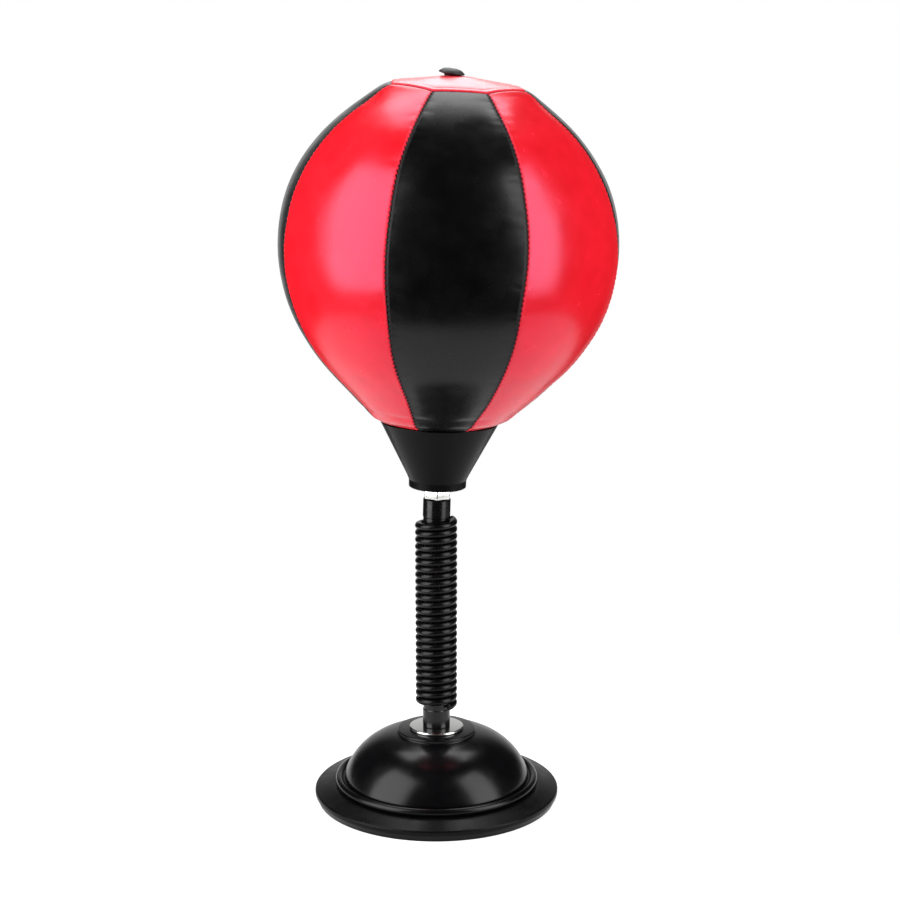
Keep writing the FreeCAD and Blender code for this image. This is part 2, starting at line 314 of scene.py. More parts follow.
# %% [markdown]
# ### Plastics and rubber
# The dome is glossy ABS from a polished mould: a deep black with the soft boxes mirrored in it, a
# faint waviness where the wall sank, and a few rubbed patches. The cup is a satin polypropylene
# with the fine grain of a spark-eroded mould. The pad is soft PVC, duller still, with dust on it.
# The valve is moulded rubber with a chalky bloom and the bladder is dipped natural rubber.

# %% Dome, cup, pad, valve and bladder
FINISH = {
    "dome": patchy_surface("polished_black_abs", "#050506", "#08080a", (0.2, 0.27), 6, 14, 0.012,
                           IOR=1.53, Specular_IOR_Level=0.22),
    "cup": patchy_surface("satin_moulded_polypropylene", "#060607", "#0a0a0b", (0.26, 0.34), 9,
                          0.5, 0.012, IOR=1.49, Specular_IOR_Level=0.09),
    "pad": patchy_surface("soft_moulded_pvc", "#070707", "#0d0d0e", (0.26, 0.36), 5, 0.7, 0.01,
                          IOR=1.52, Specular_IOR_Level=0.1),
    "valve": patchy_surface("moulded_valve_rubber", "#1b1b1e", "#2a2a2e", (0.42, 0.6), 1.6,
                            0.5, 0.015, IOR=1.52),
    "bladder": patchy_surface("dipped_natural_rubber", "#221d1a", "#2e2824", (0.45, 0.6), 8,
                              0.9, 0.02, IOR=1.52),
}
print("plastics and rubber:", sorted(FINISH))


# %% [markdown]
# ### Steels
# The spring is black enamelled wire, glossy with small worn places. Its plugs are turned steel,
# blackened and oiled. The washer and jam nut are nickel plated and bright, and the hidden hardware
# is plain zinc. On turned pieces the grain is stretched round the post, so it draws the fine rings
# that a lathe leaves: a ring every 0.3 mm, and marks a good deal longer round the piece.

# %% Spring, plugs, washer and nuts
RINGS = (0.012, 0.012, 1)
FINISH["spring"] = patchy_surface("black_enamelled_spring_wire", "#040405", "#09090a", (0.2, 0.32),
                                  2.5, 0.8, 0.006, IOR=1.53, Specular_IOR_Level=0.2)
FINISH["plug"] = patchy_surface("blackened_turned_steel", "#060607", "#0c0c0d", (0.16, 0.28), 3,
                                0.35, 0.004, RINGS, IOR=1.5, Specular_IOR_Level=0.35)
FINISH["bright"] = patchy_surface("nickel_plated_steel", "#cdcdcb", "#e6e6e4", (0.14, 0.26), 2.2,
                                  0.3, 0.003, RINGS, Metallic=1.0)
FINISH["plain"] = patchy_surface("zinc_plated_steel", "#96989a", "#b4b6b8", (0.3, 0.45), 2.2,
                                 0.3, 0.003, RINGS, Metallic=1.0)
print("finishes:", sorted(FINISH))


# %% [markdown]
# ### Polyurethane leather
# The ball's cover is knitted cloth coated with polyurethane and rolled with a fine hair-cell grain.
# Red and black panels differ only in their colour. The coating is glossy over the panel and duller
# in the stitched groove, where it is creased. The groove is also painted darker than the panel: a
# painted shade for the shadow that falls in it. Each panel carries "seam_mm", its own distance from
# the nearest seam, so that change follows the sewing. The thread in the groove is bonded polyester,
# a dull dark cord with a little fuzz that catches light.

# %% Red and black leather, and the thread
def coated_leather(name, dark, light, groove, dull, glint, shine):
    """Leather of two tones, a painted groove shade at its seams, and its own glint and shine."""
    cloud_mm, cell_mm, cell_depth_mm = 11, 0.9, 0.012
    material, tree, shader = principled(name, IOR=1.5, Specular_Tint=glint,
                                        Specular_IOR_Level=shine)
    place = node(tree, "ShaderNodeTexCoord").outputs["Object"]
    cloud = node(tree, "ShaderNodeTexNoise",
                 {"Vector": place, "Scale": 1000 / cloud_mm, "Detail": 3.0}).outputs["Fac"]
    seam = node(tree, "ShaderNodeAttribute", attribute_name="seam_mm").outputs["Fac"]
    # The groove colour is painted shade, mixed in within about half a millimetre of each seam.
    painted_shade_near_seam, worn = [node(tree, "ShaderNodeMapRange", {"Value": seam, "From Min": low,
                                                    "From Max": high, "To Min": 1.0, "To Max": 0.0},
                       interpolation_type="SMOOTHSTEP").outputs["Result"]
                  for low, high in ((0.08, 0.55), (0.4, 1.8))]
    patches = node(tree, "ShaderNodeMapRange", {"Value": cloud, "From Min": 0.3, "From Max": 0.7})
    skin = node(tree, "ShaderNodeMix",
                {0: patches.outputs["Result"], 6: linear(dark), 7: linear(light)}, data_type="RGBA")
    colour = node(tree, "ShaderNodeMix",
                  {0: painted_shade_near_seam, 6: skin.outputs[2], 7: linear(groove)}, data_type="RGBA")
    gloss = node(tree, "ShaderNodeMapRange", {"Value": cloud, "From Min": 0.3, "From Max": 0.7,
                                              "To Min": dull[0], "To Max": dull[1]})
    rough = node(tree, "ShaderNodeMix", {"Factor": worn, "A": gloss.outputs["Result"], "B": 0.6})
    cells = node(tree, "ShaderNodeTexVoronoi",
                 {"Vector": place, "Scale": 1000 / cell_mm}, feature="SMOOTH_F1")
    bump = node(tree, "ShaderNodeBump", {"Height": cells.outputs["Distance"],
                                         "Distance": cell_depth_mm * MM, "Strength": 1.0})
    tree.links.new(colour.outputs[2], shader.inputs["Base Color"])
    tree.links.new(rough.outputs["Result"], shader.inputs["Roughness"])
    tree.links.new(bump.outputs["Normal"], shader.inputs["Normal"])
    return material


# The third colour of each leather is its painted groove shade.
FINISH["red"] = coated_leather("red_polyurethane_leather", "#e21824", "#ee1c2a", "#3a0508",
                               (0.2, 0.28), (1.0, 0.55, 1.0, 1.0), 0.5)
FINISH["black"] = coated_leather("black_polyurethane_leather", "#060607", "#09090a", "#040405",
                                 (0.22, 0.3), (1.0, 1.0, 1.0, 1.0), 0.3)
FINISH["thread"] = patchy_surface("dark_bonded_sewing_thread", "#140608", "#2a1012", (0.5, 0.7),
                                  0.25, 0.25, 0.03, IOR=1.5, Sheen_Weight=0.3, Sheen_Roughness=0.4)
print("leather and thread added")


# %% Finishes for the nodes that keep their modelled shape
for name in ("lower_plug", "upper_plug"):
    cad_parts[name].data.materials[0] = FINISH["plug"]
for name in ("stud_plate", "draw_stud", "top_stud", "cup_washer", "cup_nut", "disc_nut"):
    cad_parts[name].data.materials[0] = FINISH["plain"]
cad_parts["retaining_disc"].data.materials[0] = FINISH["cup"]
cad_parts["neck_collar"].data.materials[0] = FINISH["black"]
print("kept nodes with their own finish: 10")


# %% [markdown]
# ## The base
# The dome is an injection-moulded shell: a rounded bead runs round its foot, a shallow groove parts
# the bead from the dome, and a flat boss on top carries the washer. It is turned from one outline,
# which starts at the bore of the boss and goes down the outside and back up the inside.

# %% Dome with its bead and boss
def shifted(points, inset):
    """The dome's arc moved inwards by an inset."""
    (r1, z1), (r2, z2) = points[0], points[-1]
    length = math.hypot(r2 - r1, z2 - z1)
    nr, nz = (z2 - z1) / length, -(r2 - r1) / length
    return [(r - nr * inset, z - nz * inset) for r, z in points]


DOME_FOOT, DOME_TOP, DOME_RISE, DOME_WALL = (45.6, 11.6), (19.0, 33.4), 5.0, 2.6
dome_run, dome_climb = DOME_TOP[0] - DOME_FOOT[0], DOME_TOP[1] - DOME_FOOT[1]
chord = math.hypot(dome_run, dome_climb)
dome_middle = ((DOME_FOOT[0] + DOME_TOP[0]) / 2 + dome_climb / chord * DOME_RISE,
               (DOME_FOOT[1] + DOME_TOP[1]) / 2 - dome_run / chord * DOME_RISE)
dome_arc = [DOME_FOOT] + arc(DOME_FOOT, dome_middle, DOME_TOP, 32)
inner_arc = shifted(dome_arc, DOME_WALL)
dome_outline = (
    [(4.4, 31.2), (4.4, 35.2), (18.7, 35.2)] + arc((18.7, 35.2), (19.05, 35.05), (19.2, 34.7), 4)
    + [(19.2, 33.9)] + arc((19.2, 33.9), (19.22, 33.66), (19.4, 33.4), 3)
    + dome_arc[-3:0:-1] + [(45.5, 11.5)] + arc((45.5, 11.5), (45.6, 10.6), (46.3, 10.7), 5)
    + arc((46.3, 10.7), (47.9, 11.95), (49.9, 10.4), 10)
    + arc((49.9, 10.4), (49.7, 8.9), (48.6, 8.05), 8) + [(48.0, 8.0), (44.2, 8.0), (43.4, 9.6)]
    + inner_arc[1:-1] + [(inner_arc[-1][0], 31.2)]
)
dome = turned("dome_shell", dome_outline, 128)
dress(dome, FINISH["dome"], "dome_abs", "base", "base_dome")
print("dome", len(dome.data.polygons), "faces")


# %% Washer
washer_outline = ([(4.4, 35.25), (4.4, 36.55), (12.6, 36.6)]
                  + arc((12.6, 36.6), (13.15, 36.4), (13.3, 35.9), 4)
                  + [(13.3, 35.6), (13.1, 35.25)])
washer = turned("plated_washer", washer_outline, 96)
dress(washer, FINISH["bright"], "bright_steel", "base", "base_washer")
print("washer", round(washer.dimensions.x / MM, 1), "mm across")


# %% [markdown]
# ### The suction pad
# Its rim stays clamped under the dome while the draw stud lifts the hub by about 3 mm, so the web
# between them stretches. The rim rides the base and the hub rides the stud. The web is one moulded
# sheet: it is turned as twelve equal slices, which meet edge to edge.

# %% A slice of a turned piece
def slice_of(outline_mm, name, start_deg, angle_deg, steps):
    """A closed slice of a turned piece: the outline filled, then swept round the axis by spin."""
    bpy.ops.object.select_all(action="DESELECT")
    bpy.ops.mesh.primitive_circle_add(vertices=len(outline_mm), radius=1, fill_type="NGON")
    piece = bpy.context.object
    piece.name = name
    a = math.radians(start_deg)
    for vertex, (r, z) in zip(piece.data.vertices, outline_mm):
        vertex.co = (r * math.cos(a) * MM, r * math.sin(a) * MM, z * MM)
    bpy.ops.object.mode_set(mode="EDIT")
    bpy.ops.mesh.select_all(action="SELECT")
    bpy.ops.mesh.spin(steps=steps, angle=math.radians(angle_deg), center=(0, 0, 0), axis=(0, 0, 1))
    bpy.ops.object.mode_set(mode="OBJECT")
    tidy_mesh(piece)
    smooth(piece)
    return piece


WEB_SLICES = 12
SLICE_DEG = 360 / WEB_SLICES
print("each web slice turns through", SLICE_DEG, "degrees")


# %% Rim, hub and web
WEB_IN, WEB_OUT = 14.5, 44.0
rim_outline = (
    [(WEB_OUT, 0), (58.4, 0), (59.6, 2.6)]
    + arc((59.6, 2.6), (59.9, 3.1), (60, 3.7), 3) + [(60, 4.7)]
    + arc((60, 4.7), (59.75, 5.35), (59.1, 5.62), 4) + [(56, 6.5), (52.6, 7.5)]
    + arc((52.6, 7.5), (51.6, 7.78), (50.5, 7.98), 3) + [(WEB_OUT, 7.98)]
)
rim = turned("pad_rim", rim_outline, 160)
dress(rim, FINISH["pad"], "pad_pvc", "base", "suction_pad")
hub = turned("pad_hub", [(4.1, 6.85), (4.1, 9.35), (WEB_IN, 9.35), (WEB_IN, 0), (0.6, 0),
                         (0.6, 3.95), (12.2, 3.95), (12.2, 6.85)], 96)
dress(hub, FINISH["pad"], "pad_pvc", "draw")
web_outline = [(WEB_IN, 0), (22, 0), (30, 0), (37, 0), (WEB_OUT, 0), (WEB_OUT, 7.98), (42, 6.4),
               (36, 6.4), (29, 6.4), (22, 6.4), (16, 6.4), (WEB_IN, 9.35)]
for k in range(WEB_SLICES):
    wedge = slice_of(web_outline, f"pad_web_{k + 1}", SLICE_DEG * k, SLICE_DEG, 8)
    dress(wedge, FINISH["pad"], "pad_pvc")
    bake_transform(wedge)
print("pad: rim, hub and", WEB_SLICES, "web slices")


# %% [markdown]
# ## The post
# A close-wound spring of 3.4 mm wire is screwed over two threaded plugs. In the model the bend is
# shared by four hinges, so the coil is four pieces that meet inside one long wire. Each is a circle
# of wire swept by a Screw modifier.

# %% A run of coil
WIRE_R, COIL_R, PITCH, SPRING_Z, SPRING_START = 1.7, 8.55, 3.52, 48.0, -45.0


def coil(name, first_turn, last_turn):
    """A run of the coil between two turn counts, with both ends closed."""
    turns = last_turn - first_turn
    a = math.radians(SPRING_START + 360 * first_turn)
    wire_at = (COIL_R * MM * math.cos(a), COIL_R * MM * math.sin(a),
               (SPRING_Z + PITCH * first_turn) * MM)
    bpy.ops.object.select_all(action="DESELECT")
    bpy.ops.mesh.primitive_circle_add(vertices=20, radius=WIRE_R * MM, fill_type="NOTHING",
                                      location=wire_at, rotation=(math.pi / 2, 0, a))
    piece = bpy.context.object
    piece.name = name
    bpy.ops.object.transform_apply(location=True, rotation=True, scale=True)
    screw = piece.modifiers.new("wind", "SCREW")
    screw.axis = "Z"
    screw.angle = 2 * math.pi * turns
    screw.screw_offset = PITCH * turns * MM
    screw.steps = screw.render_steps = round(30 * turns)
    screw.use_merge_vertices = False
    apply_modifiers(piece)
    bpy.ops.object.mode_set(mode="EDIT")
    bpy.ops.mesh.select_all(action="DESELECT")
    bpy.ops.mesh.select_mode(type="EDGE")
    bpy.ops.mesh.select_non_manifold()
    bpy.ops.mesh.edge_face_add()
    bpy.ops.object.mode_set(mode="OBJECT")
    tidy_mesh(piece)
    smooth(piece, 50)
    return piece


print("wire", 2 * WIRE_R, "mm, coil", 2 * (COIL_R + WIRE_R), "mm across")


# %% The spring in four runs
CUTS = [0, 7.85, 13.15, 18.45, 26.2]
for k in range(4):
    run = coil(f"spring_run_{k + 1}", CUTS[k], CUTS[k + 1])
    dress(run, FINISH["spring"], "spring_steel")
    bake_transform(run)
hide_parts("spring_foot")
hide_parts("spring_low")
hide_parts("spring_mid", "spring_high")
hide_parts("spring_crown")
print("spring:", CUTS[-1], "turns in 4 runs")


# %% [markdown]
# ## The head
# From here up everything stands 1.8 degrees off plumb, as the spring's top coil was ground a little
# out of square. One helper leans a finished piece about the middle of the upper plug.

# %% Lean helper and jam nut
LEAN_DEG = 1.8
LEAN = Matrix.Rotation(math.radians(LEAN_DEG), 4, Vector((0, 1, 0)))
LEAN_AT = Vector((0, 0, 137 * MM))


def lean(piece):
    turn = Matrix.Translation(LEAN_AT) @ LEAN @ Matrix.Translation(-LEAN_AT)
    piece.data.transform(turn)
    return piece


NUT_FLATS, NUT_THICK, NUT_MIDDLE = 12, 5.6, 154.6


def jam_nut():
    """A hexagon with its edges eased by a bevel; its bore is filled by the stud."""
    bpy.ops.object.select_all(action="DESELECT")
    bpy.ops.mesh.primitive_cylinder_add(vertices=6, radius=NUT_FLATS / math.sqrt(3) * MM,
                                        depth=NUT_THICK * MM, location=(0, 0, NUT_MIDDLE * MM),
                                        end_fill_type="NGON")
    piece = bpy.context.object
    piece.name = "plated_jam_nut"
    bpy.ops.object.transform_apply(location=True, rotation=True, scale=True)
    edges = piece.modifiers.new("eased_edges", "BEVEL")
    edges.width = 0.35 * MM
    edges.segments = 3
    edges.limit_method = "ANGLE"
    apply_modifiers(piece)
    smooth(piece, 30)
    return piece


nut = dress(lean(jam_nut()), FINISH["bright"], "bright_steel", "head", "jam_nut")
print("nut", len(nut.data.polygons), "faces")


# %% Cone cup
lip = [(13.2, 157.4)] + arc((13.2, 157.4), (13.65, 157.58), (13.8, 158.0), 4) + [(13.85, 160.9)]
cup_outline = (
    [(4.4, 160.4), (4.4, 157.4)] + lip + arc((13.85, 160.9), (13.9, 161.2), (14.05, 161.5), 3)
    + [(13.8 + 14.7 * t / 12, 161.3 + 28.3 * t / 12) for t in range(1, 12)] + [(28.3, 189.2)]
    + arc((28.3, 189.2), (28.1, 189.55), (27.7, 189.6), 3) + [(26.5, 189.6)]
    + arc((26.5, 189.6), (26.2, 189.55), (26.0, 189.2), 3) + [(11.6, 161.5), (11.5, 160.4)]
)
cup = lean(turned("cone_cup_shell", cup_outline, 112))
dress(cup, FINISH["cup"], "cup_plastic", "head", "cone_cup")
print("cup", round(cup.dimensions.z / MM, 1), "mm high")


# %% [markdown]
# ## The ball's cover
# Eight panels are cut flat, sewn edge to edge inside out, turned and blown up over the bladder. The
# sewn edges are stiff, so they stand out as eight soft ridges and the panels lie a little flatter
# between them. Low down the cover narrows in a cone to the collar that the cup grips.
# A cover this full is first made as one coarse closed skin and inflated as cloth. Then every panel
# is a flat grid laid on that skin, so its edges, stitches and puckers can be as fine as sewing.

# %% Sizes and profile of the cover
BALL_R, BALL_Z, FOOT = 80.0, 272.0, (31.4, 190.3)
WIDTHS = [44.7, 48.4, 43.8, 43.8, 43.7, 43.8, 43.8, 48.0]
FIRST_SEAM = -19.6
PATCH_R = 31.3
SEAMS = FIRST_SEAM + np.concatenate([[0], np.cumsum(WIDTHS)])
SEAMS[-1] = FIRST_SEAM + 360
CONE_S = BALL_R * math.radians(135)
CONE_TOP = (BALL_R * math.cos(math.radians(45)), BALL_Z - BALL_R * math.sin(math.radians(45)))
CONE_LENGTH = math.hypot(CONE_TOP[0] - FOOT[0], CONE_TOP[1] - FOOT[1])
SKIN_S = CONE_S + CONE_LENGTH
PANEL_SAG = 0.016
BULGE, BULGE_AT, BULGE_WIDE = 1.2, 72, 27
LOW_BULGE, LOW_BULGE_START = 0.5, 16
TUCK_IN, TUCK_DOWN = 3.4, 0.5


def step_between(x, low, high):
    """0 below low, 1 above high, and a smooth step between them."""
    t = np.clip((np.asarray(x, float) - low) / (high - low), 0, 1)
    return t * t * (3 - 2 * t)


def hump(x, middle, wide):
    """1 at the middle, fading smoothly to nothing on both sides of it."""
    return np.exp(-(((x - middle) / wide) ** 2))


def profile(s):
    """Radius, height and outward normal of the skin's seams at a length s down from the crown."""
    s = np.asarray(s, float)
    polar = np.minimum(s, CONE_S) / BALL_R
    beyond = np.clip((s - CONE_S) / CONE_LENGTH, 0, 1)
    nr, nz = np.sin(polar), np.cos(polar)
    r = BALL_R * nr + beyond * (FOOT[0] - CONE_TOP[0])
    z = BALL_Z + BALL_R * nz + beyond * (FOOT[1] - CONE_TOP[1])
    full = BULGE * hump(np.degrees(polar), BULGE_AT, BULGE_WIDE)
    down_cone = np.clip((s - CONE_S + LOW_BULGE_START) / (CONE_LENGTH + LOW_BULGE_START), 0, 1)
    low = LOW_BULGE * np.sin(math.pi * down_cone) ** 1.5
    tuck = step_between(s, SKIN_S - 5.0, SKIN_S + 1.0) ** 2
    return r + nr * (full + low) - TUCK_IN * tuck, z + nz * (full + low) - TUCK_DOWN * tuck, nr, nz


print("skin from crown to foot", round(SKIN_S, 1), "mm")


# %% Points anywhere on the skin
CORNER_LIFT = 1.9


def corner_lift(azimuth, s):
    """The patch's corners stand up at the sides and back, where its four layers of leather meet."""
    away_from_front = 1 - 0.8 * hump(np.degrees(azimuth + math.pi) % 360, 180, 50)
    return CORNER_LIFT * away_from_front * hump(s, 33.5, 8)


def skin(panel, across, s, extra=0.0):
    """Points on the skin: a fraction across a panel, a length down from the crown, and a height."""
    azimuth = np.radians(np.interp(panel + across, range(9), SEAMS))
    r, z, nr, nz = profile(s)
    fullness = step_between(s, 14, 60) * (1 - 0.8 * step_between(s, CONE_S - 20, SKIN_S))
    sag = PANEL_SAG * (1 - (2 * across - 1) ** 2) * fullness
    height = np.asarray(extra) - sag * BALL_R + corner_lift(azimuth, s)
    r, z = r + nr * height, z + nz * height
    return np.stack([r * np.sin(azimuth), -r * np.cos(azimuth), z], axis=-1)


print("half way down the front panel:", skin(0, np.array(0.5), np.array(SKIN_S / 2)).round(1))


# %% A sewn ball is never quite true
DRIFT_RIGHT, DRIFT_FORWARD, OFF_AXIS = 1.4, 1.5, 1.5


def pattern_drift(points):
    """The pattern leans a little to the right at the top, and the ball is a little off its axis."""
    x, y, z = points[..., 0], points[..., 1], points[..., 2]
    turned_by = step_between(z, 225, 335)
    right, forward = np.radians(DRIFT_RIGHT) * turned_by, np.radians(DRIFT_FORWARD) * turned_by
    dz = z - BALL_Z
    x, dz = x * np.cos(right) + dz * np.sin(right), dz * np.cos(right) - x * np.sin(right)
    y, dz = y * np.cos(forward) - dz * np.sin(forward), dz * np.cos(forward) + y * np.sin(forward)
    return np.stack([x + OFF_AXIS * step_between(BALL_Z + dz, 186, 208), y, BALL_Z + dz], axis=-1)


crown = pattern_drift(np.array([0, 0, BALL_Z + BALL_R]))
print("the crown sits", round(float(np.hypot(crown[0], crown[1])), 1), "mm off the axis")


# %% [markdown]
# ### Inflating the skin
# The skin is a sphere with six columns to a panel. It is pulled into the cover's shape, its foot
# and crown are pinned, and air pressure fills it for twenty frames. The pressed-out shape differs
# from the drawn one by a small smooth amount everywhere, which is kept for the panels to follow.

# %% The coarse skin
PER_PANEL, COLUMNS, ROWS = 6, 48, 44
FOOT_ROW = ROWS - 2
AIR_FRAMES = 20


def coarse_skin():
    """A sphere pulled into the cover's shape, with each point's row, column and drawn place."""
    bpy.ops.object.select_all(action="DESELECT")
    bpy.ops.mesh.primitive_uv_sphere_add(segments=COLUMNS, ring_count=ROWS, radius=1)
    piece = bpy.context.object
    piece.name = "inflated_skin"
    places = np.array([v.co[:] for v in piece.data.vertices])
    row = np.rint(np.arccos(np.clip(places[:, 2], -1, 1)) / math.pi * ROWS).astype(int)
    turn = np.arctan2(places[:, 0], -places[:, 1]) / (2 * math.pi)
    column = np.rint(turn * COLUMNS).astype(int) % COLUMNS
    s = np.minimum(row, FOOT_ROW) / FOOT_ROW * SKIN_S
    shaped = skin(column // PER_PANEL, (column % PER_PANEL) / PER_PANEL, s)
    closing = row > FOOT_ROW
    shaped[closing, :2] *= np.where(row[closing] == ROWS, 0, 0.5)[:, None]
    piece.data.vertices.foreach_set("co", (shaped * MM).ravel())
    piece.data.update()
    return piece, row, column, shaped


skin_piece, skin_row, skin_column, drawn = coarse_skin()
print("coarse skin", len(skin_piece.data.polygons), "faces")


# %% Cloth simulation of the skin
def inflate(piece, row):
    """Air pressure against the sewn shape, with the foot and crown held."""
    held = piece.vertex_groups.new(name="held")
    for index, r in enumerate(row):
        if r >= FOOT_ROW - 1 or r <= 2:
            held.add([index], 1.0, "REPLACE")
    cloth = piece.modifiers.new("air", "CLOTH")
    cloth.settings.quality = 6
    cloth.settings.mass = 0.25
    cloth.settings.tension_stiffness = 15
    cloth.settings.compression_stiffness = 15
    cloth.settings.bending_stiffness = 2
    cloth.settings.use_pressure = True
    cloth.settings.uniform_pressure_force = 90
    cloth.settings.vertex_group_mass = "held"
    cloth.settings.effector_weights.gravity = 0
    cloth.point_cache.frame_start = 1
    cloth.point_cache.frame_end = AIR_FRAMES
    for moment in range(1, AIR_FRAMES + 1):
        bpy.context.scene.frame_set(moment)
    apply_modifiers(piece)
    bpy.context.scene.frame_set(1)


inflate(skin_piece, skin_row)
pressed = np.array([v.co[:] for v in skin_piece.data.vertices]) / MM
outward = drawn - np.array([0, 0, BALL_Z])
outward /= np.linalg.norm(outward, axis=1)[:, None]
moved = np.clip(((pressed - drawn) * outward).sum(axis=1), -1.0, 2.0)
swell_grid = np.zeros((FOOT_ROW + 1, COLUMNS))
for r in range(FOOT_ROW + 1):
    in_row = skin_row == r
    swell_grid[r, skin_column[in_row]] = moved[in_row]
    if r == 0:
        swell_grid[r] = moved[in_row].mean()
bpy.data.objects.remove(skin_piece)
print("air moved the skin", np.percentile(moved, [0, 5, 50, 95, 100]).round(2), "mm")


# %% Reading the swell anywhere on the skin
def cubic(before, first, second, after, t):
    """Smooth curve through four evenly spaced values, between the middle two."""
    return first + 0.5 * t * (second - before + t * (2 * before - 5 * first + 4 * second - after
                                                     + t * (3 * (first - second) + after - before)))


def swell(panel, across, s):
    """How far the air pressed the skin out at a place."""
    u = (panel + across) * PER_PANEL
    v = np.clip(s / SKIN_S, 0, 1) * FOOT_ROW
    ui, vi = np.floor(u).astype(int), np.minimum(np.floor(v).astype(int), FOOT_ROW - 1)
    rows = []
    for dv in (-1, 0, 1, 2):
        row = swell_grid[np.clip(vi + dv, 0, FOOT_ROW)]
        rows.append(cubic(*(np.take_along_axis(row, ((ui + du) % COLUMNS)[..., None], -1)[..., 0]
                            for du in (-1, 0, 1, 2)), u - ui))
    return cubic(*rows, v - vi)


middle_swell = swell(0, np.array([0.5]), np.array([SKIN_S / 2]))
print("swell in the middle of the front panel", middle_swell.round(2), "mm")


# %% [markdown]
# ### Sewing the panels
# Stitches are 2.4 mm apart. Each pulls the two edges together, so the border between red and black
# is a small saw-tooth at the bottom of a groove, and short puckers run from it into the panels.
# The rows of a panel's grid follow the patch's straight edge at the top and the collar at the foot.

# %% Panel grid and seams
STITCH = 2.4
SIDE_STEPS = [0, 0.006, 0.014, 0.024, 0.037, 0.054, 0.076, 0.104, 0.14, 0.185, 0.24, 0.3, 0.365,
              0.43, 0.5]
ACROSS = np.array(SIDE_STEPS + [1 - f for f in SIDE_STEPS[-2::-1]])
DOWN = 330
BOW_SEAM, BOW, BOW_AT, BOW_LONG = 2, 4.2, 153, 36


def width_mm(panel, s):
    """Width of a panel at a length down from the crown."""
    return np.radians(WIDTHS[panel]) * profile(s)[0]


def saw(s, amount):
    """A saw-tooth along a seam, one tooth to a stitch."""
    return amount * (2 * np.abs((s / STITCH) % 1 - 0.5) * 2 - 1)


def seam_shift(seam, s):
    """How far a seam wanders off its meridian, in degrees; one seam has a slight bow low down."""
    wander = 0.25 * np.sin(s / 17.0 + 2.1 * seam) + 0.15 * np.sin(s / 7.3 + 4.4 * seam)
    if seam != BOW_SEAM:
        return wander
    return BOW * hump(s, BOW_AT, BOW_LONG) - 1.5 * step_between(s, 130, 80) + wander


def patch_edge_s(panel, across):
    """Length down from the crown to the straight edge of the patch."""
    half = math.radians(WIDTHS[panel]) / 2
    off = (2 * across - 1) * half
    return BALL_R * np.arcsin(PATCH_R * math.cos(half) / np.cos(off) / BALL_R)


print("grid", len(ACROSS), "by", DOWN + 1, "points; panel at its widest",
      round(float(width_mm(0, np.array(BALL_R * math.pi / 2))), 1), "mm")


# %% Puckers and dents
def puckers(x, s, dice):
    """Small folds that start at a seam, x mm away, and die out within the panel."""
    total = np.zeros_like(x)
    here = 34.0
    while here < SKIN_S - 6:
        here += dice.uniform(3.2, 8.5)
        length = dice.uniform(2.5, 7.5) * (1.5 if dice.random() < 0.2 else 1.0)
        depth = dice.uniform(0.02, 0.11)
        slant = dice.uniform(-0.35, 0.35)
        thick = dice.uniform(0.8, 1.8)
        fold = hump(s - here, slant * x, thick + 0.1 * x)
        total -= depth * fold * hump(x, 0, length)
    return total


def dents(panel, x, s):
    """Shallow dents a few centimetres long, as a filled cover has between its seams."""
    deepest, longest = 0.025, 38
    waves = np.random.default_rng(40 + panel)
    total = np.zeros_like(x)
    for _ in range(9):
        size = waves.uniform(14, longest)
        heading = waves.uniform(0, 2 * math.pi)
        start = waves.uniform(0, 2 * math.pi)
        along = x * math.cos(heading) + s * math.sin(heading)
        total += np.sin(2 * math.pi * along / size + start) * size / longest
    return deepest * total


middle_dent = dents(0, np.array([width_mm(0, SKIN_S / 2) / 2]), np.array([SKIN_S / 2]))
print("dent in the middle of the front panel", middle_dent.round(3), "mm")


# %% The shape of one panel
GROOVE_DEPTH, GROOVE_WIDE = 0.5, 0.32
TOOTH, TOOTH_REACH = 0.5, 1.2
RIPPLE = 0.035
LIP_DEPTH, LIP_WIDE = 0.8, 0.9
CREASE, CREASE_UP = 0.25, 9
PATCH_GAP = 0.2


def panel_shape(panel, u, v, dice):
    """Places of one panel's grid points, and their distance from the nearest seam."""
    start = patch_edge_s(panel, u) + PATCH_GAP
    s = start + v * (SKIN_S - start)
    wide = width_mm(panel, s)
    left, right = u * wide, (1 - u) * wide
    edge = np.minimum(left, right)
    teeth = np.degrees(saw(s, TOOTH) / np.maximum(profile(s)[0], 10))
    degrees = teeth * (hump(left, 0, TOOTH_REACH) + hump(right, 0, TOOTH_REACH))
    degrees += seam_shift(panel, s) * (1 - u) + seam_shift((panel + 1) % 8, s) * u
    height = swell(panel, u, s)
    height -= GROOVE_DEPTH * hump(edge, 0, GROOVE_WIDE)
    height += dents(panel, left, s)
    height += RIPPLE * np.cos(2 * math.pi * s / STITCH) * hump(edge, 0.8, 0.6)
    height += puckers(left, s, dice) + puckers(right, s, dice)
    from_patch = s - start
    height -= LIP_DEPTH * hump(from_patch, 0, LIP_WIDE)
    height -= CREASE * hump(s, SKIN_S - CREASE_UP, 2.0) * (0.5 + 0.5 * np.sin(u * 9 + panel))
    across = u + degrees / WIDTHS[panel]
    place = skin(panel, across, s, height)
    seam_mm = np.minimum(edge, from_patch)
    return pattern_drift(place), seam_mm


print("groove", GROOVE_DEPTH, "mm deep, teeth", TOOTH, "mm to each side")


# %% Wrapping a flat grid of leather
LEATHER = 1.2


